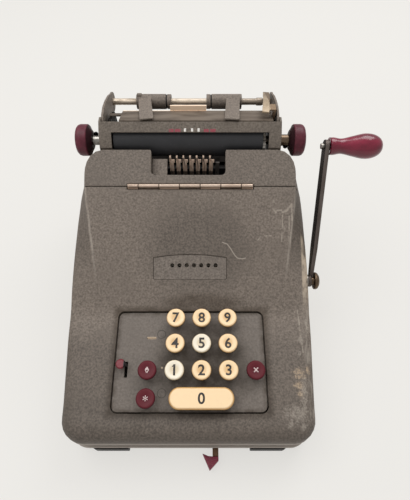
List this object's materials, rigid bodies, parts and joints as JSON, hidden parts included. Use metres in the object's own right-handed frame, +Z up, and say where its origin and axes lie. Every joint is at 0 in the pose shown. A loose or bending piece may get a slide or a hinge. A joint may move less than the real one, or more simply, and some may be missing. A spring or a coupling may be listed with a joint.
{
  "type": "mechanical adding machine",
  "caption": "Desk-top ten-key printing adding machine with side crank, platen carriage and paper-roll stand in grey crinkle paint.",
  "frame": {"origin": "centre of the four foot sockets, on the plane the feet stand on", "axes": "+X to the operator's right (crank side), +Y from the operator to the back, +Z up"},
  "size_m": [0.2808, 0.3287, 0.1734],
  "materials": {
    "grey_crinkle_paint": "fine crinkle",
    "dark_steel": "oiled dark",
    "bright_steel": "plain",
    "worn_brass": "worn satin",
    "black_rubber": "matt",
    "cream_plastic": "satin",
    "maroon_plastic": "worn satin",
    "maroon_gloss": "polished",
    "inked_ribbon": "inked"
  },
  "bodies": {
    "casing": {"base_pan": "dark_steel", "rubber_feet": "black_rubber", "case_screws": "bright_steel", "housing": "grey_crinkle_paint", "rear_cover": "grey_crinkle_paint", "hinge_leaf_front": "worn_brass", "hinge_pin": "worn_brass", "indicator_plate": "grey_crinkle_paint", "keyboard_plate": "grey_crinkle_paint", "side_frame_left": "bright_steel", "side_frame_right": "bright_steel", "frame_crossbars": "bright_steel", "key_guide_plate": "bright_steel", "crank_bush": "bright_steel", "type_bar_guide": "bright_steel", "ribbon": "inked_ribbon", "carriage_frame": "dark_steel", "carriage_cover": "grey_crinkle_paint", "paper_table": "worn_brass", "roll_stand_left": "grey_crinkle_paint", "roll_stand_right": "grey_crinkle_paint", "roll_rod": "worn_brass"},
    "lid": {"lid": "grey_crinkle_paint", "hinge_leaf_lid": "worn_brass"},
    "crank": {"crank_shaft": "bright_steel", "crank_arm": "dark_steel", "crank_nut": "dark_steel", "crank_spindle": "bright_steel", "drive_sector": "bright_steel"},
    "grip": {"crank_grip": "maroon_gloss"},
    "register": {"accumulator_wheels": "worn_brass", "accumulator_shaft": "bright_steel"},
    "type_bar_row": {"type_bars": "worn_brass"},
    "platen": {"platen_roller": "black_rubber", "platen_shaft": "bright_steel", "platen_knobs": "maroon_plastic", "platen_ratchet": "bright_steel"},
    "stop_pin_carriage": {"pin_carriage": "dark_steel", "column_indicator": "bright_steel"},
    "function_lever": {"function_lever": "maroon_plastic"},
    "correction_lever": {"correction_lever": "dark_steel", "correction_lever_tip": "maroon_plastic"},
    "paper_release": {"paper_release_lever": "worn_brass"},
    "spool_left": {"ribbon_spool_left": "dark_steel"},
    "spool_right": {"ribbon_spool_right": "dark_steel"},
    "hub_left": {"roll_hub_left": "grey_crinkle_paint"},
    "hub_right": {"roll_hub_right": "grey_crinkle_paint"},
    "key_0": {"key_0": "cream_plastic"},
    "key_1": {"key_1": "cream_plastic"},
    "key_2": {"key_2": "cream_plastic"},
    "key_3": {"key_3": "cream_plastic"},
    "key_4": {"key_4": "cream_plastic"},
    "key_5": {"key_5": "cream_plastic"},
    "key_6": {"key_6": "cream_plastic"},
    "key_7": {"key_7": "cream_plastic"},
    "key_8": {"key_8": "cream_plastic"},
    "key_9": {"key_9": "cream_plastic"},
    "subtotal_key": {"subtotal_key": "maroon_plastic"},
    "total_key": {"total_key": "maroon_plastic"},
    "multiply_key": {"multiply_key": "maroon_plastic"}
  },
  "joints": [
    {"name": "key_0_press", "type": "slide", "parent": "casing", "child": "key_0", "axis": [0, -0.1719, 0.9851], "range_m": [-0.0045, 0], "stiffness_N_per_m": 160, "springref_m": 0.003},
    {"name": "key_1_press", "type": "slide", "parent": "casing", "child": "key_1", "axis": [0, -0.1719, 0.9851], "range_m": [-0.0045, 0], "stiffness_N_per_m": 160, "springref_m": 0.003},
    {"name": "key_2_press", "type": "slide", "parent": "casing", "child": "key_2", "axis": [0, -0.1719, 0.9851], "range_m": [-0.0045, 0], "stiffness_N_per_m": 160, "springref_m": 0.003},
    {"name": "key_3_press", "type": "slide", "parent": "casing", "child": "key_3", "axis": [0, -0.1719, 0.9851], "range_m": [-0.0045, 0], "stiffness_N_per_m": 160, "springref_m": 0.003},
    {"name": "key_4_press", "type": "slide", "parent": "casing", "child": "key_4", "axis": [0, -0.1719, 0.9851], "range_m": [-0.0045, 0], "stiffness_N_per_m": 160, "springref_m": 0.003},
    {"name": "key_5_press", "type": "slide", "parent": "casing", "child": "key_5", "axis": [0, -0.1719, 0.9851], "range_m": [-0.0045, 0], "stiffness_N_per_m": 160, "springref_m": 0.003},
    {"name": "key_6_press", "type": "slide", "parent": "casing", "child": "key_6", "axis": [0, -0.1719, 0.9851], "range_m": [-0.0045, 0], "stiffness_N_per_m": 160, "springref_m": 0.003},
    {"name": "key_7_press", "type": "slide", "parent": "casing", "child": "key_7", "axis": [0, -0.1719, 0.9851], "range_m": [-0.0045, 0], "stiffness_N_per_m": 160, "springref_m": 0.003},
    {"name": "key_8_press", "type": "slide", "parent": "casing", "child": "key_8", "axis": [0, -0.1719, 0.9851], "range_m": [-0.0045, 0], "stiffness_N_per_m": 160, "springref_m": 0.003},
    {"name": "key_9_press", "type": "slide", "parent": "casing", "child": "key_9", "axis": [0, -0.1719, 0.9851], "range_m": [-0.0045, 0], "stiffness_N_per_m": 160, "springref_m": 0.003},
    {"name": "subtotal_key_press", "type": "slide", "parent": "casing", "child": "subtotal_key", "axis": [0, -0.1719, 0.9851], "range_m": [-0.0045, 0], "stiffness_N_per_m": 160, "springref_m": 0.003},
    {"name": "total_key_press", "type": "slide", "parent": "casing", "child": "total_key", "axis": [0, -0.1719, 0.9851], "range_m": [-0.0045, 0], "stiffness_N_per_m": 160, "springref_m": 0.003},
    {"name": "multiply_key_press", "type": "slide", "parent": "casing", "child": "multiply_key", "axis": [0, -0.1719, 0.9851], "range_m": [-0.0045, 0], "stiffness_N_per_m": 160, "springref_m": 0.003},
    {"name": "lid_hinge", "type": "hinge", "parent": "casing", "child": "lid", "pos_m": [0, 0.0517, 0.1342], "axis": [1, 0, 0], "range_deg": [0, 100]},
    {"name": "crank_pull", "type": "hinge", "parent": "casing", "child": "crank", "pos_m": [0, -0.012, 0.072], "axis": [1, 0, 0], "range_deg": [0, 80], "stiffness_Nm_per_rad": 0.3, "springref_deg": -68.75},
    {"name": "grip_spin", "type": "hinge", "parent": "crank", "child": "grip", "pos_m": [0.124, 0.07476, 0.16059], "axis": [1, 0, 0], "continuous": true},
    {"name": "register_turn", "type": "hinge", "parent": "casing", "child": "register", "pos_m": [0, 0.02194, 0.03806], "axis": [1, 0, 0], "range_deg": [-242, 2]},
    {"name": "type_bar_lift", "type": "slide", "parent": "casing", "child": "type_bar_row", "axis": [0, 0, 1], "range_m": [-0.0001, 0.0082]},
    {"name": "platen_turn", "type": "hinge", "parent": "casing", "child": "platen", "pos_m": [0, 0.103, 0.144], "axis": [1, 0, 0], "continuous": true},
    {"name": "pin_carriage_step", "type": "slide", "parent": "casing", "child": "stop_pin_carriage", "axis": [1, 0, 0], "range_m": [-0.042, 0]},
    {"name": "function_lever_throw", "type": "hinge", "parent": "casing", "child": "function_lever", "pos_m": [-0.054, -0.0857, 0.03599], "axis": [1, 0, 0], "range_deg": [0, 14]},
    {"name": "correction_lever_swing", "type": "hinge", "parent": "casing", "child": "correction_lever", "pos_m": [0.023, -0.125, 0.006], "axis": [0, 0, 1], "range_deg": [-12, 12], "stiffness_Nm_per_rad": 0.05},
    {"name": "paper_release_lift", "type": "hinge", "parent": "casing", "child": "paper_release", "pos_m": [0.08, 0.112, 0.152], "axis": [1, 0, 0], "range_deg": [0, 20]},
    {"name": "spool_left_turn", "type": "hinge", "parent": "casing", "child": "spool_left", "pos_m": [-0.062, 0.065, 0.12], "axis": [0, 0, 1], "continuous": true},
    {"name": "spool_right_turn", "type": "hinge", "parent": "casing", "child": "spool_right", "pos_m": [0.062, 0.065, 0.12], "axis": [0, 0, 1], "continuous": true},
    {"name": "hub_left_slide", "type": "slide", "parent": "casing", "child": "hub_left", "axis": [1, 0, 0], "range_m": [-0.014, 0.012]},
    {"name": "hub_right_slide", "type": "slide", "parent": "casing", "child": "hub_right", "axis": [1, 0, 0], "range_m": [-0.012, 0.014]}
  ],
  "couplings": [
    {"joint": "register_turn", "follows": "crank_pull", "ratio": -3},
    {"joint": "type_bar_lift", "follows": "crank_pull", "m_per_rad": 0.0057},
    {"joint": "spool_right_turn", "follows": "spool_left_turn", "ratio": 1}
  ]
}
